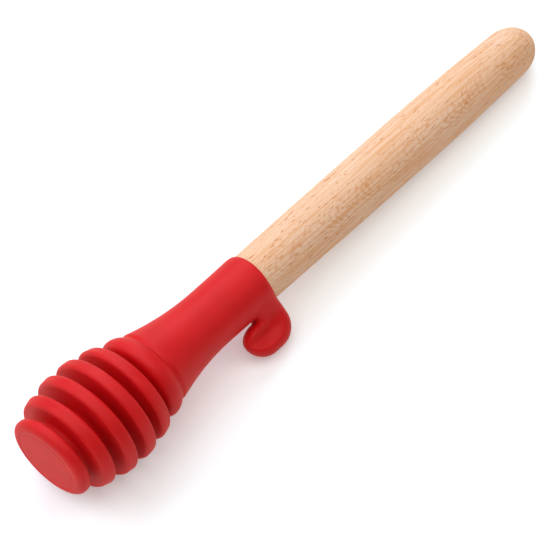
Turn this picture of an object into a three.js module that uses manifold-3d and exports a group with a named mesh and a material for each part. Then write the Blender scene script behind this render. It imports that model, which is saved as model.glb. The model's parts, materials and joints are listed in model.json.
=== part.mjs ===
// Honey dipper: a finned silicone head with a jar hook, pushed onto the spigot of a turned beech handle.
// Millimetres. The tool is drawn along +X, from the head's end face at x = 0 to the butt of the handle.
// It is then laid on a table, where the largest fin, the hook and the butt touch the surface z = 0.

import * as THREE from 'three';
import { mergeVertices } from 'three/addons/utils/BufferGeometryUtils.js';
import Module from 'manifold-3d';

const wasm = await Module();
wasm.setup();

// Whole tool
const TOOL_LENGTH = 210;
const FIT_CLEARANCE = 0.3;

// End disc: the smallest fin, with a flat face and a long rounded edge
const END_FACE_RADIUS = 10.8;
const END_EDGE_LENGTH = 1.95;
const END_DISC_RADIUS = 13.4;
const END_DISC_LENGTH = 3.85;

// Full fins: rims that follow a barrel-shaped envelope, with round-bottomed grooves between them
const FIN_COUNT = 4;
const FIN_PITCH = 7.4;
const FIN_THICKNESS = 4.58;
const FIN_EDGE_RADIUS = 1.5;
const FIRST_FIN_X = 8.5;
const BARREL_RADIUS = 17.7;
const BARREL_MIDDLE_X = 20;
const BARREL_ARC_RADIUS = 40;
const GROOVE_FLOOR_RADIUS = 8.6;

// Round collar behind the fins, then the flared sleeve that takes the handle
const COLLAR_FROM_FIN = 6.8;
const COLLAR_RADIUS = 14.05;
const COLLAR_FRONT_RADIUS = 2.2;
const COLLAR_BACK_LENGTH = 4.2;
const SLEEVE_LIP_RADIUS = 12.2;
const SLEEVE_LIP_STEP = 0.4;
const SLEEVE_LIP_EDGE = 0.8;
const WAIST_X = 66;
const WAIST_RADIUS = 9;
const MOUTH_X = 84.1;
const MOUTH_RADIUS = 9.2;
const MOUTH_ROUNDING = 2.2;

// Jar hook: a thick finger that leaves the sleeve at the mouth and turns back towards the fins
const HOOK_THICKNESS = 11;
const HOOK_FINGER_WIDTH = 10.7;
const HOOK_ROOT_WIDTH = 9;
const HOOK_LENGTH = 15.9;
const HOOK_OVERHANG = 2;
const HOOK_CORNER_RADIUS = 8.3;
const HOOK_TIP_RADIUS = 6.6;
const JAR_SLOT_WIDTH = 1.15;
const JAR_SLOT_SINK = 0.5;
const HOOK_ROUNDNESS = 0.97;

// Beech handle with the spigot that stiffens the head
const HANDLE_MOUTH_RADIUS = 8.38;
const HANDLE_BELLY_RADIUS = 8.8;
const HANDLE_BUTT_RADIUS = 7.95;
const BELLY_FROM_MOUTH = 68.6;
const BUTT_DOME_LENGTH = 10.5;
const SPIGOT_RADIUS = 5.5;
const SPIGOT_LENGTH = 71;
const SPIGOT_CHAMFER = 1.5;

// Facets
const TURN_SEGMENTS = 40;
const ARC_STEPS = 6;
const EDGE_STEPS = 4;
const CURVE_STEPS = 8;
const BEVEL_STEPS = 5;
const SOLVE_STEPS = 40;
const WELD_DISTANCE = 1e-4;

// Colours and finish
const SILICONE_RED = 0xc92a30;
const SILICONE_ROUGHNESS = 0.6;
const BEECH_TAN = 0xe3b58f;
const BEECH_ROUGHNESS = 0.55;

const QUARTER = Math.PI / 2;
const SHOULDER_X = MOUTH_X + FIT_CLEARANCE;
const COLLAR_X = FIRST_FIN_X + (FIN_COUNT - 1) * FIN_PITCH + COLLAR_FROM_FIN;

// Points on an elliptic arc in the (x, radius) plane, both ends included
function arc(centre, half, fromAngle, toAngle, steps = ARC_STEPS) {
  const points = [];
  for (let step = 0; step <= steps; step += 1) {
    const angle = fromAngle + ((toAngle - fromAngle) * step) / steps;
    points.push([centre[0] + half[0] * Math.cos(angle), centre[1] + half[1] * Math.sin(angle)]);
  }
  return points;
}

// Points on a parabola that is flat at its first point's end, without that first point
function sweepFrom(start, end, steps = CURVE_STEPS) {
  const points = [];
  for (let step = 1; step <= steps; step += 1) {
    const share = step / steps;
    points.push([start[0] + (end[0] - start[0]) * share, start[1] + (end[1] - start[1]) * share ** 2]);
  }
  return points;
}

// The same parabola walked the other way, so that it is flat at its last point
function sweepTo(start, end, steps = CURVE_STEPS) {
  return [...sweepFrom(end, start, steps).reverse().slice(1), end];
}

// Solid turned about the X axis from (x, radius) points that start and end on the axis
function turned(profile) {
  const outline = profile.map(([x, radius]) => new THREE.Vector2(radius, x));
  return new THREE.LatheGeometry(outline, TURN_SEGMENTS).rotateZ(-QUARTER);
}

function toSolid(geometry) {
  const bare = geometry.clone();
  bare.deleteAttribute('normal');
  bare.deleteAttribute('uv');
  const merged = mergeVertices(bare, WELD_DISTANCE);
  const corners = merged.index.array;
  const triangles = [];
  for (let first = 0; first < corners.length; first += 3) {
    const [a, b, c] = corners.slice(first, first + 3);
    if (a !== b && b !== c && c !== a) triangles.push(a, b, c);
  }
  return new wasm.Manifold(new wasm.Mesh({
    numProp: 3,
    vertProperties: new Float32Array(merged.attributes.position.array),
    triVerts: new Uint32Array(triangles),
  }));
}

function toGeometry(solid) {
  const mesh = solid.getMesh();
  const geometry = new THREE.BufferGeometry();
  geometry.setAttribute('position', new THREE.BufferAttribute(mesh.vertProperties, 3));
  geometry.setIndex(new THREE.BufferAttribute(mesh.triVerts, 1));
  geometry.computeVertexNormals();
  return geometry;
}

function finX(index) {
  return FIRST_FIN_X + index * FIN_PITCH;
}

// Flat end face with a long rounded edge, and the rounded back edge of the end disc
function endDisc() {
  const frontHalf = [END_EDGE_LENGTH, END_DISC_RADIUS - END_FACE_RADIUS];
  const backCentre = [END_DISC_LENGTH - FIN_EDGE_RADIUS, END_DISC_RADIUS - FIN_EDGE_RADIUS];
  const backHalf = [FIN_EDGE_RADIUS, FIN_EDGE_RADIUS];
  return [
    [0, 0],
    ...arc([END_EDGE_LENGTH, END_FACE_RADIUS], frontHalf, 2 * QUARTER, QUARTER),
    ...arc(backCentre, backHalf, QUARTER, 0, EDGE_STEPS),
  ];
}

// Round-bottomed groove between two walls
function groove(fromX, toX) {
  const half = (toX - fromX) / 2;
  return arc([fromX + half, GROOVE_FLOOR_RADIUS + half], [half, half], -2 * QUARTER, 0);
}

// Middle of a fin's rounded edge, and the direction in which the barrel leaves it
function edgeCentre(x) {
  const reach = BARREL_ARC_RADIUS - FIN_EDGE_RADIUS;
  const rise = Math.sqrt(reach ** 2 - (x - BARREL_MIDDLE_X) ** 2);
  return [x, BARREL_RADIUS - BARREL_ARC_RADIUS + rise];
}

function edgeAngle(x) {
  return Math.acos((x - BARREL_MIDDLE_X) / (BARREL_ARC_RADIUS - FIN_EDGE_RADIUS));
}

// Rim of a fin along the barrel, with its front and back edges rounded
function rim(x) {
  const edge = [FIN_EDGE_RADIUS, FIN_EDGE_RADIUS];
  const front = x - FIN_THICKNESS / 2 + FIN_EDGE_RADIUS;
  const back = x + FIN_THICKNESS / 2 - FIN_EDGE_RADIUS;
  return [
    ...arc(edgeCentre(front), edge, 2 * QUARTER, edgeAngle(front), EDGE_STEPS),
    ...arc(edgeCentre(back), edge, edgeAngle(back), 0, EDGE_STEPS),
  ];
}

// End disc, full fins with their grooves, and the front of the collar
function finnedProfile() {
  const points = endDisc();
  let wallX = END_DISC_LENGTH;
  for (let index = 0; index < FIN_COUNT; index += 1) {
    const x = finX(index);
    points.push(...groove(wallX, x - FIN_THICKNESS / 2), ...rim(x));
    wallX = x + FIN_THICKNESS / 2;
  }
  const collarCentre = [COLLAR_X, COLLAR_RADIUS - COLLAR_FRONT_RADIUS];
  const collarHalf = [COLLAR_FRONT_RADIUS, COLLAR_FRONT_RADIUS];
  points.push(...groove(wallX, COLLAR_X - COLLAR_FRONT_RADIUS));
  points.push(...arc(collarCentre, collarHalf, 2 * QUARTER, QUARTER));
  return points;
}

// Back of the collar, the small step, the flare, the waist and the rounded mouth
function sleeveProfile() {
  const stepX = COLLAR_X + COLLAR_BACK_LENGTH;
  const lipX = stepX + SLEEVE_LIP_EDGE;
  const stepRadius = SLEEVE_LIP_RADIUS - SLEEVE_LIP_STEP;
  const mouthEdgeX = MOUTH_X - MOUTH_ROUNDING;
  const lipEdge = [SLEEVE_LIP_EDGE, SLEEVE_LIP_STEP];
  const mouthBack = [MOUTH_ROUNDING, MOUTH_RADIUS - HANDLE_MOUTH_RADIUS];
  return [
    ...sweepFrom([COLLAR_X, COLLAR_RADIUS], [stepX, stepRadius], ARC_STEPS),
    ...arc([lipX, stepRadius], lipEdge, 2 * QUARTER, QUARTER, EDGE_STEPS).slice(1),
    ...sweepTo([lipX, SLEEVE_LIP_RADIUS], [WAIST_X, WAIST_RADIUS]),
    ...sweepFrom([WAIST_X, WAIST_RADIUS], [mouthEdgeX, MOUTH_RADIUS], EDGE_STEPS),
    ...arc([mouthEdgeX, HANDLE_MOUTH_RADIUS], mouthBack, QUARTER, 0).slice(1),
    [MOUTH_X, 0],
  ];
}

// Outline of the hook in its own plane, x along the tool and y away from its axis, with a base in the sleeve
function hookShape() {
  const back = MOUTH_X + HOOK_OVERHANG;
  const tip = back - HOOK_LENGTH;
  const inner = MOUTH_RADIUS + JAR_SLOT_WIDTH;
  const outer = inner + HOOK_FINGER_WIDTH;
  const innerTipRadius = HOOK_FINGER_WIDTH - HOOK_TIP_RADIUS;
  const base = MOUTH_RADIUS - JAR_SLOT_SINK;
  const seatRadius = (inner - base) / 2;
  const seatX = back - HOOK_ROOT_WIDTH - seatRadius;
  const buried = -base / 2;
  const shape = new THREE.Shape();
  shape.moveTo(tip, buried);
  shape.lineTo(back, buried);
  shape.absarc(back - HOOK_CORNER_RADIUS, outer - HOOK_CORNER_RADIUS, HOOK_CORNER_RADIUS, 0, QUARTER, false);
  shape.absarc(tip + HOOK_TIP_RADIUS, outer - HOOK_TIP_RADIUS, HOOK_TIP_RADIUS, QUARTER, 2 * QUARTER, false);
  shape.absarc(tip + innerTipRadius, inner + innerTipRadius, innerTipRadius, 2 * QUARTER, 3 * QUARTER, false);
  shape.absarc(seatX, base + seatRadius, seatRadius, QUARTER, -QUARTER, true);
  shape.lineTo(tip, base);
  return shape;
}

// The hook is that outline, thick and with edges rounded almost to a round section
function hookGeometry() {
  const narrowest = Math.min(HOOK_FINGER_WIDTH, HOOK_ROOT_WIDTH, 2 * (HOOK_FINGER_WIDTH - HOOK_TIP_RADIUS));
  const edge = (HOOK_ROUNDNESS * narrowest) / 2;
  const side = (HOOK_ROUNDNESS * HOOK_THICKNESS) / 2;
  const geometry = new THREE.ExtrudeGeometry(hookShape(), {
    depth: HOOK_THICKNESS - 2 * side,
    curveSegments: ARC_STEPS + 2,
    bevelSegments: BEVEL_STEPS,
    bevelThickness: side,
    bevelSize: edge,
    bevelOffset: -edge,
  });
  geometry.translate(0, 0, side - HOOK_THICKNESS / 2);
  return geometry.rotateX(Math.PI);
}

// Room that the head leaves for the handle: the blind socket, and the stick behind the mouth
function handleRoom() {
  const socketEnd = SHOULDER_X - SPIGOT_LENGTH - FIT_CLEARANCE;
  const socketRadius = SPIGOT_RADIUS + FIT_CLEARANCE;
  const stickRadius = HANDLE_MOUTH_RADIUS + FIT_CLEARANCE;
  const behindHook = MOUTH_X + HOOK_OVERHANG + HOOK_LENGTH;
  return turned([
    [socketEnd, 0],
    [socketEnd, socketRadius - SPIGOT_CHAMFER],
    [socketEnd + SPIGOT_CHAMFER, socketRadius],
    [MOUTH_X, socketRadius],
    [MOUTH_X, stickRadius],
    [behindHook, stickRadius],
    [behindHook, 0],
  ]);
}

function dipperHeadGeometry(hook) {
  const body = toSolid(turned([...finnedProfile(), ...sleeveProfile()]));
  return toGeometry(body.add(toSolid(hook)).subtract(toSolid(handleRoom())));
}

function handleProfile() {
  const spigotEnd = SHOULDER_X - SPIGOT_LENGTH;
  const bellyX = SHOULDER_X + BELLY_FROM_MOUTH;
  const domeX = TOOL_LENGTH - BUTT_DOME_LENGTH;
  const belly = [bellyX, HANDLE_BELLY_RADIUS];
  return [
    [spigotEnd, 0],
    [spigotEnd, SPIGOT_RADIUS - SPIGOT_CHAMFER],
    [spigotEnd + SPIGOT_CHAMFER, SPIGOT_RADIUS],
    [SHOULDER_X, SPIGOT_RADIUS],
    [SHOULDER_X, HANDLE_MOUTH_RADIUS],
    ...sweepTo([SHOULDER_X, HANDLE_MOUTH_RADIUS], belly),
    ...sweepFrom(belly, [domeX, HANDLE_BUTT_RADIUS]),
    ...arc([domeX, 0], [BUTT_DOME_LENGTH, HANDLE_BUTT_RADIUS], QUARTER, 0, CURVE_STEPS).slice(1, -1),
    [TOOL_LENGTH, 0],
  ];
}

// Halving search for the place where a falling function crosses zero
function crossing(fallingFunction, low, high) {
  let [from, to] = [low, high];
  for (let step = 0; step < SOLVE_STEPS; step += 1) {
    const middle = (from + to) / 2;
    if (fallingFunction(middle) > 0) from = middle;
    else to = middle;
  }
  return (from + to) / 2;
}

// Slope of the table under the tool: the fins and the butt touch it together
function tableReach(profile, slope) {
  return Math.max(...profile.map(([x, radius]) => radius + x * slope));
}

function tableSlope() {
  const fins = finnedProfile();
  const stick = handleProfile();
  return crossing((slope) => tableReach(fins, slope) - tableReach(stick, slope), 0, 1);
}

// Roll about the tool's axis that brings the hook down to the table
function hookRoll(hook, slope) {
  const reach = tableReach(finnedProfile(), slope);
  const places = hook.attributes.position;
  const clearance = (roll) => {
    let least = Infinity;
    for (let index = 0; index < places.count; index += 1) {
      const height = places.getY(index) * Math.sin(roll) + places.getZ(index) * Math.cos(roll);
      least = Math.min(least, height + reach - places.getX(index) * slope);
    }
    return least;
  };
  return crossing(clearance, 0, QUARTER);
}

function namedMesh(name, geometry, color, roughness) {
  const mesh = new THREE.Mesh(geometry, new THREE.MeshStandardMaterial({ color, roughness, metalness: 0 }));
  mesh.name = name;
  return mesh;
}

// Lay the finished tool on the table, with the origin under the middle of its box
function laidOnTable(meshes, hook) {
  const slope = tableSlope();
  const rolled = new THREE.Group();
  rolled.add(...meshes);
  rolled.rotation.x = hookRoll(hook, slope);
  const pitched = new THREE.Group();
  pitched.add(rolled);
  pitched.rotation.y = Math.atan(slope);
  const tool = new THREE.Group();
  tool.add(pitched);
  tool.updateMatrixWorld(true);
  const box = new THREE.Box3().setFromObject(tool, true);
  const middle = box.getCenter(new THREE.Vector3());
  pitched.position.set(-middle.x, -middle.y, -box.min.z);
  tool.updateMatrixWorld(true);
  return tool;
}

const hook = hookGeometry();
const dipperHead = namedMesh('dipper_head', dipperHeadGeometry(hook), SILICONE_RED, SILICONE_ROUGHNESS);
const beechHandle = namedMesh('beech_handle', turned(handleProfile()), BEECH_TAN, BEECH_ROUGHNESS);

export default laidOnTable([beechHandle, dipperHead], hook);
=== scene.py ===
import json
import math
from collections import namedtuple

import bmesh
import bpy
from mathutils import Matrix, Vector


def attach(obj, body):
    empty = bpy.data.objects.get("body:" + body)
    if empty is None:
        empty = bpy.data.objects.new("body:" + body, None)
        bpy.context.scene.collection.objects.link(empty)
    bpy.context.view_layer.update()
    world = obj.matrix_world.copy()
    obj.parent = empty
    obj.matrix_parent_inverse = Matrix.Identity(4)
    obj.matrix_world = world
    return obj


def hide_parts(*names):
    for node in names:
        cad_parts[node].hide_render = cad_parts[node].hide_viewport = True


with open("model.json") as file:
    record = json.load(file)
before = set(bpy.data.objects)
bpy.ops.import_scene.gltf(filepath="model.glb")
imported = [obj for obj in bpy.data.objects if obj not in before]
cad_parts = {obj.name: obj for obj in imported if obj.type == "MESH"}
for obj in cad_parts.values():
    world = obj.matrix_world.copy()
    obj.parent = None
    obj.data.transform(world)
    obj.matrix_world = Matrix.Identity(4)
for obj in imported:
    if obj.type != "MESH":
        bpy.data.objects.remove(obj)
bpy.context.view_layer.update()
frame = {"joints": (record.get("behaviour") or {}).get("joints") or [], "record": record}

# Sizes are in millimetres along the tool, which runs along +X from the end face of the head to the butt.
# Y points from the axis of the tool to the jar hook. The tool is placed in the frame as a whole.
MM = 0.001
QUARTER = math.pi / 2

# Whole tool
TOOL_LENGTH = 210.0
FIT_CLEARANCE = 0.3

# End disc
END_FACE_RADIUS = 10.8
END_EDGE_LENGTH = 1.95
END_DISC_RADIUS = 13.4
END_DISC_LENGTH = 3.85
END_CREASE_RADIUS = 9.9
END_CREASE_WIDTH = 1.8
END_CREASE_DEPTH = 0.1
END_FACE_RINGS = (0.3, 0.6, 0.85)

# Full fins
FIN_COUNT = 4
FIN_PITCH = 7.4
FIN_THICKNESS = 4.3
FIN_EDGE_RADIUS = 1.25
FIRST_FIN_X = 8.64
BARREL_RADIUS = 17.7
BARREL_MIDDLE_X = 20.0
BARREL_ARC_RADIUS = 40.0
GROOVE_FLOOR_RADIUS = 8.6

# Collar and sleeve
COLLAR_FROM_FIN = 6.66
COLLAR_RADIUS = 14.05
COLLAR_FRONT_RADIUS = 2.2
COLLAR_BACK_LENGTH = 4.2
VALLEY_RADIUS = 11.95
VALLEY_SOFTNESS = 0.7
SLEEVE_LIP_RADIUS = 12.2
SLEEVE_LIP_LENGTH = 1.3
WAIST_X = 66.0
WAIST_RADIUS = 9.0
MOUTH_X = 83.8
MOUTH_RADIUS = 9.2
MOUTH_ROUNDING = 2.2
MOUTH_GRIP_GAP = 0.06
MOUTH_GRIP_DEPTH = 0.8
MOUTH_SWELL = 1.6
MOUTH_SWELL_ANGLE = math.radians(80)

# Lean of the soft fins within the hook's plane, whole up to the collar and fading out along the sleeve
FIN_LEAN = math.radians(3.2)

# Jar hook
HOOK_THICKNESS = 11.0
HOOK_FINGER_WIDTH = 10.75
HOOK_ROOT_WIDTH = 10.4
HOOK_LENGTH = 17.1
HOOK_OVERHANG = 2.6
HOOK_CORNER_RADIUS = 7.2
HOOK_TIP_RADIUS = 6.8
HOOK_SECTION_POWER = 2.0
HOOK_THINNING = 0.36
JAR_SLOT_WIDTH = 0.65

# Dish in the hook's sides: its depth as a share of the half thickness, its width and places as shares of
# the way from the slot to the outside, and how it sets in at the root and fades out at the tip
HOLLOW_DEPTH = 0.56
HOLLOW_WIDTH = 0.2
HOLLOW_OUTER_STRETCH = 1.5
HOLLOW_ROOT_PLACE = 0.38
HOLLOW_FINGER_PLACE = 0.4
HOLLOW_ROOT_POWER = 0.5
HOLLOW_TIP_POWER = 1.1

# Handle
HANDLE_MOUTH_RADIUS = 8.38
HANDLE_BELLY_RADIUS = 8.8
HANDLE_BUTT_RADIUS = 7.95
BELLY_FROM_MOUTH = 70.0
BUTT_DOME_LENGTH = 10.5
SPIGOT_RADIUS = 5.5
SPIGOT_LENGTH = 69.6
SPIGOT_CHAMFER = 1.5

# Mesh fineness
TURN_SEGMENTS = 160
HOOK_HALF_SEGMENTS = 25
HOOK_ROW_STEP = 0.45
ARC_STEPS = 10
CURVE_STEPS = 20
ROOT_RINGS = 7
BEND_RINGS = 16
TIP_RINGS = 10
SOFTENED_RINGS = ROOT_RINGS + 4
SOFTENING_ROUNDS = 12
SOFTENING_SHARE = 0.5
REACH_HALVINGS = 40
SHARP_ANGLE = math.radians(50)

# Camera, fitted to the photograph: where the origin of the frame sits in its view, and the lens
CAMERA_HEADING = math.radians(47.29)
CAMERA_ELEVATION = math.radians(58.57)
CAMERA_ROLL = math.radians(0.16)
ORIGIN_RIGHT = 7.78
ORIGIN_UP = 3.83
ORIGIN_AHEAD = 805.1
CAMERA_LENS = 176.7
CAMERA_SENSOR = 36.0
CAMERA_CLIP_START = 0.01

# Floor: half its size in metres, the share of white that it adds to its lit paper, and the paper's colour
# as the camera sees it and as it throws light back at the tool
FLOOR_HALF_SIZE = 4.0
FLOOR_LIFT = 0.28
PAPER_SEEN = (0.86, 0.93, 1.0, 1.0)
PAPER_BOUNCE = (0.97, 0.9, 0.82, 1.0)
WHITE = (1.0, 1.0, 1.0, 1.0)

# Dim light of the room, and the lamps' distance in metres
ROOM_LEVEL = 0.08
LAMP_DISTANCE = 2.5

# Lamps: angle round the table from the right of the picture, height, size, power and colour
LAMPS = (
    ("left_lamp", math.radians(176), math.radians(38), 1.8, 24.0, (0.95, 1.0, 1.08)),
    ("front_lamp", math.radians(232), math.radians(28), 1.8, 4.5, (1.0, 0.92, 0.8)),
    ("back_lamp", math.radians(94), math.radians(38), 1.8, 31.0, (0.94, 1.0, 1.09)),
    ("right_lamp", math.radians(5), math.radians(50), 1.8, 11.0, (1.0, 0.93, 0.85)),
    ("top_lamp", math.radians(230), math.radians(80), 2.4, 32.0, (1.0, 0.94, 0.85)),
)

# Noise in a material: how fine it is along the three axes per millimetre, its detail, the levels between
# which it sets in, and its strength where it is full
Figure = namedtuple("Figure", "grain detail low high strength")

# Silicone: soft clouds in its colour, and a fine grain in its gloss and its skin
SILICONE_CLOUDS = Figure((0.12, 0.12, 0.12), 3.0, 0.3, 0.7, 1.0)
SILICONE_GRAIN = Figure((5.0, 5.0, 5.0), 2.0, 0.3, 0.7, 1.0)
SILICONE_ROUGHNESS = (0.52, 0.62)
SILICONE_IOR = 1.38
SILICONE_BUMP = 0.12
SILICONE_BUMP_HEIGHT = 0.0001

# Beech rings: how they lie in the stick, in millimetres, and the shares of a ring at which its dark late
# wood starts and is full
RING_TURN = math.radians(2)
RING_SPACING = 0.5
RING_SLOPE = -0.2
RING_SWAY = 2.4
RING_WAVER = 0.22
SWAY_GRAIN = (0.05, 0.03, 0.03)
WAVER_GRAIN = (0.3, 0.5, 0.5)
LATE_WOOD_START = 0.3
LATE_WOOD_FULL = 0.8
LATE_WOOD_STRENGTH = 0.12

# Band down the front and the back of the stick where rings and spots show most, from full to none
BAND_FULL = 1.76
BAND_END = 4.16

# Beech figure
CLOUDS = Figure((0.02, 0.1, 0.1), 1.0, 0.35, 0.65, 1.0)
FIBRES = Figure((0.045, 1.8, 1.8), 3.0, 0.42, 0.64, 0.7)
HAIRS = Figure((0.18, 7.0, 7.0), 2.0, 0.52, 0.7, 0.45)
CRESCENTS = Figure((0.13, 0.12, 0.12), 1.0, 0.5, 0.66, 0.38)
SPOTS = Figure((0.4, 0.8, 0.8), 1.0, 0.58, 0.7, 0.48)
RAYS = Figure((0.3, 1.6, 1.0), 1.0, 0.66, 0.75, 0.7)
DASHES = Figure((0.45, 2.6, 1.5), 0.0, 0.71, 0.8, 0.7)
BEECH_ROUGHNESS_LEVELS = (0.3, 0.7)
BEECH_ROUGHNESS = (0.55, 0.65)
BEECH_IOR = 1.3
BEECH_BUMP = 0.25
BEECH_BUMP_HEIGHT = 0.00005

COLLAR_X = FIRST_FIN_X + (FIN_COUNT - 1) * FIN_PITCH + COLLAR_FROM_FIN
SHOULDER_X = MOUTH_X - MOUTH_GRIP_DEPTH
HOOK_BACK_X = MOUTH_X + HOOK_OVERHANG
HOOK_TIP_X = HOOK_BACK_X - HOOK_LENGTH


def arc(centre, half, from_angle, to_angle, steps=ARC_STEPS):
    """Points on an elliptic arc in the (x, radius) plane, both ends included."""
    points = []
    for step in range(steps + 1):
        angle = from_angle + (to_angle - from_angle) * step / steps
        points.append((centre[0] + half[0] * math.cos(angle), centre[1] + half[1] * math.sin(angle)))
    return points


def sweep_from(start, end, steps=CURVE_STEPS):
    """Points on a parabola that is flat at its start, without the start itself."""
    points = []
    for step in range(1, steps + 1):
        share = step / steps
        points.append((start[0] + (end[0] - start[0]) * share, start[1] + (end[1] - start[1]) * share**2))
    return points


def sweep_to(start, end, steps=CURVE_STEPS):
    """The same parabola walked the other way, so that it is flat at its end."""
    return sweep_from(end, start, steps)[::-1][1:] + [end]


def fin_x(index):
    return FIRST_FIN_X + index * FIN_PITCH


def end_disc():
    """Flat face with a shallow crease, the long rounded edge, and the rounded back edge."""
    points = [(0.0, END_CREASE_RADIUS * share) for share in END_FACE_RINGS]
    for step in range(ARC_STEPS + 1):
        share = 2 * step / ARC_STEPS - 1
        depth = END_CREASE_DEPTH * (0.5 + 0.5 * math.cos(math.pi * share))
        points.append((depth, END_CREASE_RADIUS + share * END_CREASE_WIDTH / 2))
    front_half = (END_EDGE_LENGTH, END_DISC_RADIUS - END_FACE_RADIUS)
    back_centre = (END_DISC_LENGTH - FIN_EDGE_RADIUS, END_DISC_RADIUS - FIN_EDGE_RADIUS)
    back_half = (FIN_EDGE_RADIUS, FIN_EDGE_RADIUS)
    points += arc((END_EDGE_LENGTH, END_FACE_RADIUS), front_half, 2 * QUARTER, QUARTER, 2 * ARC_STEPS)[1:]
    points += arc(back_centre, back_half, QUARTER, 0)
    return points


def groove(from_x, to_x):
    """Round-bottomed groove between two walls."""
    half = (to_x - from_x) / 2
    return arc((from_x + half, GROOVE_FLOOR_RADIUS + half), (half, half), -2 * QUARTER, 0)


def edge_centre(x):
    """Middle of a fin's rounded edge under the barrel-shaped envelope."""
    reach = BARREL_ARC_RADIUS - FIN_EDGE_RADIUS
    rise = math.sqrt(reach**2 - (x - BARREL_MIDDLE_X) ** 2)
    return (x, BARREL_RADIUS - BARREL_ARC_RADIUS + rise)


def edge_angle(x):
    """Direction in which the barrel leaves that edge."""
    return math.acos((x - BARREL_MIDDLE_X) / (BARREL_ARC_RADIUS - FIN_EDGE_RADIUS))


def rim(x):
    """Rim of a fin along the barrel, with its front and back edges rounded."""
    edge = (FIN_EDGE_RADIUS, FIN_EDGE_RADIUS)
    front = x - FIN_THICKNESS / 2 + FIN_EDGE_RADIUS
    back = x + FIN_THICKNESS / 2 - FIN_EDGE_RADIUS
    points = arc(edge_centre(front), edge, 2 * QUARTER, edge_angle(front))
    return points + arc(edge_centre(back), edge, edge_angle(back), 0)


def finned_profile():
    """End disc, full fins with their grooves, and the front of the collar."""
    points = end_disc()
    wall_x = END_DISC_LENGTH
    for index in range(FIN_COUNT):
        x = fin_x(index)
        points += groove(wall_x, x - FIN_THICKNESS / 2) + rim(x)
        wall_x = x + FIN_THICKNESS / 2
    collar_centre = (COLLAR_X, COLLAR_RADIUS - COLLAR_FRONT_RADIUS)
    collar_half = (COLLAR_FRONT_RADIUS, COLLAR_FRONT_RADIUS)
    points += groove(wall_x, COLLAR_X - COLLAR_FRONT_RADIUS)
    points += arc(collar_centre, collar_half, 2 * QUARTER, QUARTER)
    return points


def hermite(start, start_slope, end, end_slope, share):
    square, cube = share**2, share**3
    return (
        start * (2 * cube - 3 * square + 1)
        + start_slope * (cube - 2 * square + share)
        + end * (3 * square - 2 * cube)
        + end_slope * (cube - square)
    )


def blend(start, start_slope, end, end_slope, steps=ARC_STEPS):
    """Points on a smooth curve in the (x, radius) plane, without its start."""
    ends = [Vector(value) for value in (start, start_slope, end, end_slope)]
    return [tuple(hermite(*ends, step / steps)) for step in range(1, steps + 1)]


def collar_back():
    """Sloping back of the collar, the soft valley behind it, and the lip where the sleeve starts."""
    valley = (COLLAR_X + COLLAR_BACK_LENGTH, VALLEY_RADIUS)
    lip = (valley[0] + SLEEVE_LIP_LENGTH, SLEEVE_LIP_RADIUS)
    whole = sweep_from((COLLAR_X, COLLAR_RADIUS), valley)
    points = [point for point in whole if point[0] < valley[0] - VALLEY_SOFTNESS]
    fall = VALLEY_SOFTNESS * 2 * (VALLEY_RADIUS - COLLAR_RADIUS) / COLLAR_BACK_LENGTH
    flare = SLEEVE_LIP_LENGTH * 2 * (WAIST_RADIUS - SLEEVE_LIP_RADIUS) / (WAIST_X - lip[0])
    points += blend(points[-1], (VALLEY_SOFTNESS, fall), valley, (VALLEY_SOFTNESS, 0.0))
    points += blend(valley, (SLEEVE_LIP_LENGTH, 0.0), lip, (SLEEVE_LIP_LENGTH, flare))
    return points


def sleeve_profile(seat_x):
    """Back of the collar, flare and waist, then even rows from the hook's seat to the mouth."""
    mouth_edge_x = MOUTH_X - MOUTH_ROUNDING
    grip_radius = HANDLE_MOUTH_RADIUS + MOUTH_GRIP_GAP
    points = collar_back()
    points += sweep_to(points[-1], (WAIST_X, WAIST_RADIUS))
    tail = sweep_from((WAIST_X, WAIST_RADIUS), (mouth_edge_x, MOUTH_RADIUS))
    points += [point for point in tail if point[0] < seat_x - HOOK_ROW_STEP / 2]
    first_hook_row = len(points)
    rows = math.ceil((mouth_edge_x - seat_x) / HOOK_ROW_STEP)
    for row in range(rows):
        x = seat_x + (mouth_edge_x - seat_x) * row / rows
        share = (x - WAIST_X) / (mouth_edge_x - WAIST_X)
        points.append((x, WAIST_RADIUS + (MOUTH_RADIUS - WAIST_RADIUS) * share**2))
    points += arc((mouth_edge_x, grip_radius), (MOUTH_ROUNDING, MOUTH_RADIUS - grip_radius), QUARTER, 0)
    return points, first_hook_row


def socket_profile():
    """From the inner edge of the mouth, over the shoulder seat and down the blind socket."""
    socket_end = SHOULDER_X - SPIGOT_LENGTH - FIT_CLEARANCE
    socket_radius = SPIGOT_RADIUS + FIT_CLEARANCE
    return [
        (SHOULDER_X - FIT_CLEARANCE, HANDLE_MOUTH_RADIUS + MOUTH_GRIP_GAP),
        (SHOULDER_X - FIT_CLEARANCE, socket_radius),
        (socket_end + SPIGOT_CHAMFER, socket_radius),
        (socket_end, socket_radius - SPIGOT_CHAMFER),
    ]


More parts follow.
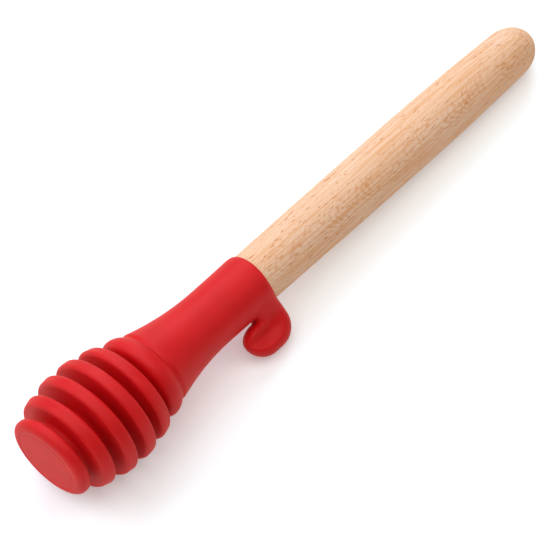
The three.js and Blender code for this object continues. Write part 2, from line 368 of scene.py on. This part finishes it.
def handle_profile():
    spigot_end = SHOULDER_X - SPIGOT_LENGTH
    belly = (SHOULDER_X + BELLY_FROM_MOUTH, HANDLE_BELLY_RADIUS)
    dome_x = TOOL_LENGTH - BUTT_DOME_LENGTH
    points = [
        (spigot_end, (SPIGOT_RADIUS - SPIGOT_CHAMFER) / 2),
        (spigot_end, SPIGOT_RADIUS - SPIGOT_CHAMFER),
        (spigot_end + SPIGOT_CHAMFER, SPIGOT_RADIUS),
        (SHOULDER_X, SPIGOT_RADIUS),
        (SHOULDER_X, HANDLE_MOUTH_RADIUS),
    ]
    points += sweep_to((SHOULDER_X, HANDLE_MOUTH_RADIUS), belly)
    points += sweep_from(belly, (dome_x, HANDLE_BUTT_RADIUS))
    points += arc((dome_x, 0), (BUTT_DOME_LENGTH, HANDLE_BUTT_RADIUS), QUARTER, 0, 2 * CURVE_STEPS)[1:-1]
    return points


def turned_rows(mesh, profile):
    """One ring of vertices for each point of a profile. Segment 0 faces the hook."""
    rows = []
    for x, radius in profile:
        row = []
        for segment in range(TURN_SEGMENTS):
            angle = 2 * math.pi * segment / TURN_SEGMENTS
            row.append(mesh.verts.new((x, radius * math.cos(angle), radius * math.sin(angle))))
        rows.append(row)
    return rows


def skin_rows(mesh, rows, skipped=lambda row, segment: False):
    for index in range(len(rows) - 1):
        for segment in range(TURN_SEGMENTS):
            if skipped(index, segment):
                continue
            after = (segment + 1) % TURN_SEGMENTS
            near, far = rows[index], rows[index + 1]
            mesh.faces.new((near[segment], near[after], far[after], far[segment]))


def cap(mesh, ring, place):
    """Closes a ring with a fan of triangles to one point."""
    tip = mesh.verts.new(place)
    for index, vertex in enumerate(ring):
        mesh.faces.new((vertex, ring[(index + 1) % len(ring)], tip))


def bridge(mesh, near, far):
    count = len(near)
    for index in range(count):
        after = (index + 1) % count
        mesh.faces.new((near[index], near[after], far[after], far[index]))


def signed_power(value, power):
    return math.copysign(abs(value) ** power, value)


class HookSections:
    """Cross-sections of the hook: a root on the sleeve, a bend about the slot's seat, and a round tip."""

    def __init__(self):
        self.inner = MOUTH_RADIUS + JAR_SLOT_WIDTH
        self.outer = self.inner + HOOK_FINGER_WIDTH
        self.seat_radius = JAR_SLOT_WIDTH / 2
        self.seat_x = HOOK_BACK_X - HOOK_ROOT_WIDTH - self.seat_radius
        self.seat_y = self.inner - self.seat_radius

    def reach(self, angle):
        """Distance from the seat's centre to the rounded outside of the bend."""
        low, high = 0.0, 3 * HOOK_LENGTH
        for _ in range(REACH_HALVINGS):
            middle = (low + high) / 2
            beyond_x = self.seat_x + middle * math.cos(angle) - (HOOK_BACK_X - HOOK_CORNER_RADIUS)
            beyond_y = self.seat_y + middle * math.sin(angle) - (self.outer - HOOK_CORNER_RADIUS)
            inside = math.hypot(max(beyond_x, 0), max(beyond_y, 0)) < HOOK_CORNER_RADIUS
            low, high = (middle, high) if inside else (low, middle)
        return low

    def half_thickness(self, across, along):
        """Half thickness between the dished sides.

        across runs from 0 at the slot to 1 outside. along runs from 0 at the root over 1 past the bend to 2
        at the tip.
        """
        place = HOLLOW_ROOT_PLACE + (HOLLOW_FINGER_PLACE - HOLLOW_ROOT_PLACE) * min(along, 1)
        fade = math.sin(along * QUARTER) ** (HOLLOW_ROOT_POWER if along < 1 else HOLLOW_TIP_POWER)
        width = HOLLOW_WIDTH * (1 if across < place else HOLLOW_OUTER_STRETCH)
        hollow = HOLLOW_DEPTH * fade * math.exp(-(((across - place) / width) ** 2))
        return HOOK_THICKNESS / 2 * (1 - hollow - HOOK_THINNING * fade * across)

    def bend(self, angle, across, side):
        """Point of the bend. across runs from 0 at the slot to 1 outside, side from -1 to 1."""
        distance = self.seat_radius + across * (self.reach(angle) - self.seat_radius)
        x = self.seat_x + distance * math.cos(angle)
        y = self.seat_y + distance * math.sin(angle)
        z = side * self.half_thickness(across, angle / QUARTER)
        return Vector((x, y, z))

    def tip(self, share, across, side):
        """Point of the finger beyond the bend. share runs from 0 at the bend to 1 at the tip."""
        inner_rise = HOOK_FINGER_WIDTH - HOOK_TIP_RADIUS
        x = self.seat_x + (HOOK_TIP_X - self.seat_x) * math.sin(share * QUARTER)
        outer_run = min(max(HOOK_TIP_X + HOOK_TIP_RADIUS - x, 0), HOOK_TIP_RADIUS)
        low = self.inner + inner_rise * (1 - math.cos(share * QUARTER))
        high = self.outer - HOOK_TIP_RADIUS + math.sqrt(HOOK_TIP_RADIUS**2 - outer_run**2)
        half = math.cos(share * QUARTER) * self.half_thickness(across, 1 + share)
        return Vector((x, low + across * (high - low), side * half))

    def tip_point(self):
        return Vector((HOOK_TIP_X, self.outer - HOOK_TIP_RADIUS, 0))


def leaning_fins(rows):
    """Leans the rings of the soft head a little, back on the hook's side and forward on the other."""
    slope = math.tan(FIN_LEAN)
    valley_x = COLLAR_X + COLLAR_BACK_LENGTH
    for row in rows:
        for vertex in row:
            share = min(max((WAIST_X - vertex.co.x) / (WAIST_X - valley_x), 0), 1)
            fade = share**2 * (3 - 2 * share)
            vertex.co.x += slope * fade * vertex.co.y


def swollen_mouth(rows, seat_x):
    """Draws the mouth out along the handle on the hook's side, so that it flows into the hook's back."""
    for row in rows:
        for vertex in row:
            angle = abs(math.atan2(vertex.co.z, vertex.co.y))
            if angle > MOUTH_SWELL_ANGLE or vertex.co.x < seat_x:
                continue
            along = (vertex.co.x - seat_x) / (MOUTH_X - seat_x)
            around = 0.5 + 0.5 * math.cos(math.pi * angle / MOUTH_SWELL_ANGLE)
            vertex.co.x += MOUTH_SWELL * around * along**2


def hook_loop(rows, first, last):
    """Vertices round the hook's foot on the sleeve, in order, with the direction that each one faces."""
    half = HOOK_HALF_SEGMENTS
    loop = [(rows[first][segment % TURN_SEGMENTS], False) for segment in range(-half, half)]
    loop += [(rows[row][half], False) for row in range(first, last)]
    loop += [(rows[last][segment % TURN_SEGMENTS], True) for segment in range(half, -half, -1)]
    loop += [(rows[row][-half], False) for row in range(last, first, -1)]
    return loop


def grow_hook(mesh, rows, first, last):
    """Lofts the hook from the open loop in the sleeve: fillet, root, bend, finger and tip."""
    sections = HookSections()
    loop = hook_loop(rows, first, last)
    middle_x = (rows[first][0].co.x + rows[last][0].co.x) / 2
    half_x = (rows[last][0].co.x - rows[first][0].co.x) / 2
    half_angle = 2 * math.pi * HOOK_HALF_SEGMENTS / TURN_SEGMENTS
    places = []
    for vertex, _ in loop:
        angle = math.atan2(vertex.co.z, vertex.co.y)
        turn = math.atan2(angle / half_angle, (vertex.co.x - middle_x) / half_x)
        across = 0.5 + 0.5 * signed_power(math.cos(turn), 2 / HOOK_SECTION_POWER)
        places.append((across, signed_power(math.sin(turn), 2 / HOOK_SECTION_POWER)))
    rings = [[vertex for vertex, _ in loop]]
    for ring in range(1, ROOT_RINGS + 1):
        made = []
        for (vertex, at_mouth), place in zip(loop, places):
            end = sections.bend(0, *place)
            span = end - vertex.co
            facing = Vector((1, 0, 0)) if at_mouth else Vector((0, vertex.co.y, vertex.co.z)).normalized()
            level = span - facing * span.dot(facing)
            start_slope = level.normalized() * span.length
            end_slope = Vector((0, span.length, 0))
            made.append(mesh.verts.new(hermite(vertex.co, start_slope, end, end_slope, ring / ROOT_RINGS)))
        rings.append(made)
    for ring in range(1, BEND_RINGS + 1):
        angle = QUARTER * ring / BEND_RINGS
        rings.append([mesh.verts.new(sections.bend(angle, *place)) for place in places])
    for ring in range(1, TIP_RINGS):
        rings.append([mesh.verts.new(sections.tip(ring / TIP_RINGS, *place)) for place in places])
    for near, far in zip(rings, rings[1:]):
        bridge(mesh, near, far)
    cap(mesh, rings[-1], sections.tip_point())
    return rings


def soften(mesh, vertices, rounds):
    for _ in range(rounds):
        bmesh.ops.smooth_vert(
            mesh, verts=vertices, factor=SOFTENING_SHARE, use_axis_x=True, use_axis_y=True, use_axis_z=True
        )


def tool_matrix():
    """Place of the tool in the frame, from the head's slide and the two mounts."""
    mounts = {mount["name"]: mount for mount in frame["record"]["mounts"]}
    along = -Vector(frame["joints"][0]["axis"]).normalized()
    start = Vector(mounts["end_face"]["pos_m"])
    to_slot = Vector(mounts["jar_slot"]["pos_m"]) - start
    outward = (to_slot - along * to_slot.dot(along)).normalized()
    matrix = Matrix((along, outward, along.cross(outward))).transposed().to_4x4()
    matrix.translation = start
    return matrix


def finished_piece(name, mesh, body, node, material):
    """Puts the mesh in the frame, in metres and in place of its CAD node, and dresses it."""
    bmesh.ops.recalc_face_normals(mesh, faces=mesh.faces)
    bmesh.ops.transform(mesh, matrix=tool_matrix() @ Matrix.Scale(MM, 4), verts=mesh.verts)
    data = bpy.data.meshes.new(name)
    mesh.to_mesh(data)
    mesh.free()
    data.shade_smooth()
    data.set_sharp_from_angle(angle=SHARP_ANGLE)
    data.materials.append(material)
    piece = bpy.data.objects.new(name, data)
    bpy.context.scene.collection.objects.link(piece)
    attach(piece, body)
    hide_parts(node)
    return piece


def head_mesh():
    mesh = bmesh.new()
    seat_x = HookSections().seat_x
    sleeve, first_hook_row = sleeve_profile(seat_x)
    finned = finned_profile()
    profile = finned + sleeve + socket_profile()
    rows = turned_rows(mesh, profile)
    first = len(finned) + first_hook_row
    last = len(finned) + len(sleeve) - 1
    leaning_fins(rows[:first])
    swollen_mouth(rows[first : last + 1], seat_x)

    def under_hook(row, segment):
        beside = segment < HOOK_HALF_SEGMENTS or segment >= TURN_SEGMENTS - HOOK_HALF_SEGMENTS
        return first <= row < last and beside

    skin_rows(mesh, rows, under_hook)
    cap(mesh, rows[0], (0, 0, 0))
    cap(mesh, rows[-1], (profile[-1][0], 0, 0))
    rings = grow_hook(mesh, rows, first, last)
    soften(mesh, [vertex for ring in rings[1:SOFTENED_RINGS] for vertex in ring], SOFTENING_ROUNDS)
    spare = [vertex for vertex in mesh.verts if not vertex.link_faces]
    bmesh.ops.delete(mesh, geom=spare, context="VERTS")
    return mesh


def handle_mesh():
    mesh = bmesh.new()
    profile = handle_profile()
    rows = turned_rows(mesh, profile)
    skin_rows(mesh, rows)
    cap(mesh, rows[0], (profile[0][0], 0, 0))
    cap(mesh, rows[-1], (TOOL_LENGTH, 0, 0))
    return mesh


def linear(red, green, blue):
    """Colour for a shader socket from 0 to 255 screen values."""
    channels = []
    for value in (red, green, blue):
        share = value / 255
        channels.append(share / 12.92 if share <= 0.04045 else ((share + 0.055) / 1.055) ** 2.4)
    return (*channels, 1.0)


SILICONE_DEEP = linear(206, 6, 15)
SILICONE_BRIGHT = linear(213, 9, 18)
BEECH_LIGHT = linear(238, 205, 180)
BEECH_MIDDLE = linear(237, 198, 167)
BEECH_DARK = linear(226, 167, 118)
BEECH_RING = linear(214, 138, 78)
BEECH_RAY = linear(204, 128, 70)


class Nodes:
    """Short way to add and join shader nodes."""

    def __init__(self, name):
        self.material = bpy.data.materials.new(name)
        self.material.use_nodes = True
        self.tree = self.material.node_tree
        self.tree.nodes.clear()

    @staticmethod
    def socket(made, key):
        """Input of a node by its number, as in i0, or by its name with _ for a space."""
        if key[0] == "i" and key[1:].isdigit():
            return made.inputs[int(key[1:])]
        return made.inputs[key.replace("_", " ")]

    def add(self, kind, settings=None, **inputs):
        made = self.tree.nodes.new(kind)
        for key, value in (settings or {}).items():
            setattr(made, key, value)
        for key, value in inputs.items():
            socket = self.socket(made, key)
            if isinstance(value, bpy.types.NodeSocket):
                self.tree.links.new(value, socket)
            else:
                socket.default_value = value
        return made

    def tool_place(self):
        """Place on the tool, in millimetres along the axes that the shapes are drawn in."""
        place = self.add("ShaderNodeTexCoord").outputs["Object"]
        matrix = tool_matrix()
        made = self.add(
            "ShaderNodeMapping",
            {"vector_type": "TEXTURE"},
            Vector=place,
            Location=matrix.translation,
            Rotation=matrix.to_euler(),
            Scale=(MM, MM, MM),
        )
        return made.outputs[0]

    def maths(self, operation, first, second=0.0, third=0.0):
        made = self.add("ShaderNodeMath", {"operation": operation}, i0=first, i1=second, i2=third)
        return made.outputs[0]

    def mix(self, share, first, second):
        made = self.add("ShaderNodeMix", {"data_type": "RGBA"}, i0=share, i6=first, i7=second)
        return made.outputs[2]

    def between(self, value, low, high, to_low=0.0, to_high=1.0):
        """Smooth step of a value from one level to another."""
        levels = {"i1": low, "i2": high, "i3": to_low, "i4": to_high}
        made = self.add("ShaderNodeMapRange", {"interpolation_type": "SMOOTHSTEP"}, i0=value, **levels)
        return made.outputs[0]

    def noise(self, place, grain, detail):
        stretched = self.add("ShaderNodeMapping", Vector=place, Scale=grain).outputs[0]
        return self.add("ShaderNodeTexNoise", Vector=stretched, Scale=1.0, Detail=detail).outputs[0]

    def strength(self, figure, noise):
        """How strongly a figure shows, from its noise."""
        return self.between(noise, figure.low, figure.high, 0.0, figure.strength)

    def bump(self, height, strength, distance):
        return self.add("ShaderNodeBump", Strength=strength, Distance=distance, Height=height).outputs[0]

    def finish(self, shader):
        self.add("ShaderNodeOutputMaterial", Surface=shader)
        return self.material


def silicone_material():
    nodes = Nodes("red_silicone")
    place = nodes.tool_place()
    clouds = nodes.noise(place, SILICONE_CLOUDS.grain, SILICONE_CLOUDS.detail)
    grain = nodes.noise(place, SILICONE_GRAIN.grain, SILICONE_GRAIN.detail)
    colour = nodes.mix(nodes.strength(SILICONE_CLOUDS, clouds), SILICONE_DEEP, SILICONE_BRIGHT)
    shader = nodes.add(
        "ShaderNodeBsdfPrincipled",
        Base_Color=colour,
        Roughness=nodes.between(grain, SILICONE_GRAIN.low, SILICONE_GRAIN.high, *SILICONE_ROUGHNESS),
        IOR=SILICONE_IOR,
        Normal=nodes.bump(grain, SILICONE_BUMP, SILICONE_BUMP_HEIGHT),
    )
    return nodes.finish(shader.outputs[0])


def late_wood(nodes, place, axes):
    """Dark part of each ring. The rings are flat layers that slope along the stick and sway a little."""
    sway = nodes.noise(place, SWAY_GRAIN, 1.0)
    waver = nodes.noise(place, WAVER_GRAIN, 1.0)
    depth = nodes.maths("MULTIPLY_ADD", axes["X"], RING_SLOPE, axes["Z"])
    depth = nodes.maths("MULTIPLY_ADD", sway, RING_SWAY, depth)
    depth = nodes.maths("MULTIPLY_ADD", waver, RING_WAVER, depth)
    ring = nodes.maths("FRACT", nodes.maths("DIVIDE", depth, RING_SPACING))
    rising = nodes.between(ring, LATE_WOOD_START, LATE_WOOD_FULL)
    falling = nodes.between(ring, LATE_WOOD_FULL, 1.0, 1.0, 0.0)
    return nodes.maths("MULTIPLY", rising, falling)


def beech_material():
    """Beech with fine fibres, crescents and spots in a band down the front, and short brown rays."""
    nodes = Nodes("beech")
    turned = nodes.add(
        "ShaderNodeMapping",
        {"vector_type": "TEXTURE"},
        Vector=nodes.tool_place(),
        Rotation=(RING_TURN, 0.0, 0.0),
    )
    place = turned.outputs[0]
    axes = nodes.add("ShaderNodeSeparateXYZ", Vector=place).outputs
    late = late_wood(nodes, place, axes)
    band = nodes.between(nodes.maths("ABSOLUTE", axes["Y"]), BAND_FULL, BAND_END, 1.0, 0.0)
    fibres = nodes.noise(place, FIBRES.grain, FIBRES.detail)
    hairs = nodes.noise(place, HAIRS.grain, HAIRS.detail)

    def shown(figure):
        return nodes.strength(figure, nodes.noise(place, figure.grain, figure.detail))

    rings = nodes.maths("MULTIPLY", late, LATE_WOOD_STRENGTH)
    crescents = nodes.maths("MULTIPLY", late, nodes.maths("MULTIPLY", band, shown(CRESCENTS)))
    spots = nodes.maths("MULTIPLY", shown(SPOTS), band)

    colour = nodes.mix(shown(CLOUDS), BEECH_MIDDLE, BEECH_LIGHT)
    colour = nodes.mix(nodes.strength(FIBRES, fibres), colour, BEECH_DARK)
    for tint in (rings, crescents, spots):
        colour = nodes.mix(tint, colour, BEECH_RING)
    colour = nodes.mix(nodes.strength(HAIRS, hairs), colour, BEECH_DARK)
    for figure in (RAYS, DASHES):
        colour = nodes.mix(shown(figure), colour, BEECH_RAY)

    shader = nodes.add(
        "ShaderNodeBsdfPrincipled",
        Base_Color=colour,
        Roughness=nodes.between(fibres, *BEECH_ROUGHNESS_LEVELS, *BEECH_ROUGHNESS),
        IOR=BEECH_IOR,
        Normal=nodes.bump(hairs, BEECH_BUMP, BEECH_BUMP_HEIGHT),
    )
    return nodes.finish(shader.outputs[0])


def floor_material():
    """White paper that keeps the shadow, lifted for what the camera and reflections see."""
    nodes = Nodes("white_paper")
    path = nodes.add("ShaderNodeLightPath").outputs
    seen = nodes.maths("MAXIMUM", path["Is Camera Ray"], path["Is Glossy Ray"])
    seen = nodes.maths("MAXIMUM", seen, path["Is Transmission Ray"])
    white = nodes.mix(path["Is Camera Ray"], PAPER_BOUNCE, PAPER_SEEN)
    paper = nodes.add("ShaderNodeBsdfDiffuse", Color=white).outputs[0]
    lift = nodes.maths("MULTIPLY", seen, FLOOR_LIFT)
    glow = nodes.add("ShaderNodeEmission", Color=WHITE, Strength=lift).outputs[0]
    both = nodes.add("ShaderNodeAddShader", i0=paper, i1=glow).outputs[0]
    return nodes.finish(both)


def add_floor():
    mesh = bmesh.new()
    bmesh.ops.create_grid(mesh, x_segments=1, y_segments=1, size=FLOOR_HALF_SIZE)
    data = bpy.data.meshes.new("floor")
    mesh.to_mesh(data)
    mesh.free()
    data.materials.append(floor_material())
    floor = bpy.data.objects.new("floor", data)
    bpy.context.scene.collection.objects.link(floor)


def add_lamp(name, direction, size, power, colour):
    data = bpy.data.lights.new(name, "AREA")
    data.shape = "DISK"
    data.size = size
    data.energy = power
    data.color = colour
    lamp = bpy.data.objects.new(name, data)
    lamp.location = Vector(direction) * LAMP_DISTANCE
    lamp.rotation_mode = "QUATERNION"
    lamp.rotation_quaternion = (-lamp.location).to_track_quat("-Z", "Y")
    bpy.context.scene.collection.objects.link(lamp)


def add_lights():
    """Soft lamps round the table, in a dim room that the camera sees as white."""
    for name, angle, height, size, power, colour in LAMPS:
        flat = math.cos(height)
        heading = angle - CAMERA_HEADING
        direction = (math.cos(heading) * flat, math.sin(heading) * flat, math.sin(height))
        add_lamp(name, direction, size, power, colour)
    world = bpy.data.worlds.new("studio")
    world.use_nodes = True
    tree = world.node_tree
    path = tree.nodes.new("ShaderNodeLightPath")
    level = tree.nodes.new("ShaderNodeMapRange")
    level.inputs["To Min"].default_value = ROOM_LEVEL
    tree.links.new(path.outputs["Is Camera Ray"], level.inputs["Value"])
    tree.links.new(level.outputs[0], tree.nodes["Background"].inputs["Strength"])
    tree.nodes["Background"].inputs["Color"].default_value = WHITE
    bpy.context.scene.world = world


def add_camera():
    flat = math.cos(CAMERA_ELEVATION)
    drop = math.sin(CAMERA_ELEVATION)
    ahead = Vector((math.sin(CAMERA_HEADING) * flat, math.cos(CAMERA_HEADING) * flat, -drop))
    level = Vector((math.cos(CAMERA_HEADING), -math.sin(CAMERA_HEADING), 0))
    right = Matrix.Rotation(CAMERA_ROLL, 3, ahead) @ level
    up = right.cross(ahead)
    data = bpy.data.cameras.new("camera")
    data.sensor_width = CAMERA_SENSOR
    data.lens = CAMERA_LENS
    data.clip_start = CAMERA_CLIP_START
    camera = bpy.data.objects.new("camera", data)
    camera.location = -MM * (ORIGIN_RIGHT * right + ORIGIN_UP * up + ORIGIN_AHEAD * ahead)
    camera.rotation_mode = "QUATERNION"
    camera.rotation_quaternion = Matrix((right, up, -ahead)).transposed().to_quaternion()
    bpy.context.scene.collection.objects.link(camera)
    bpy.context.scene.camera = camera


finished_piece("silicone_head", head_mesh(), "head", "dipper_head", silicone_material())
finished_piece("turned_handle", handle_mesh(), "handle", "beech_handle", beech_material())
add_floor()
add_lights()
add_camera()
bpy.context.scene.view_settings.view_transform = "Standard"
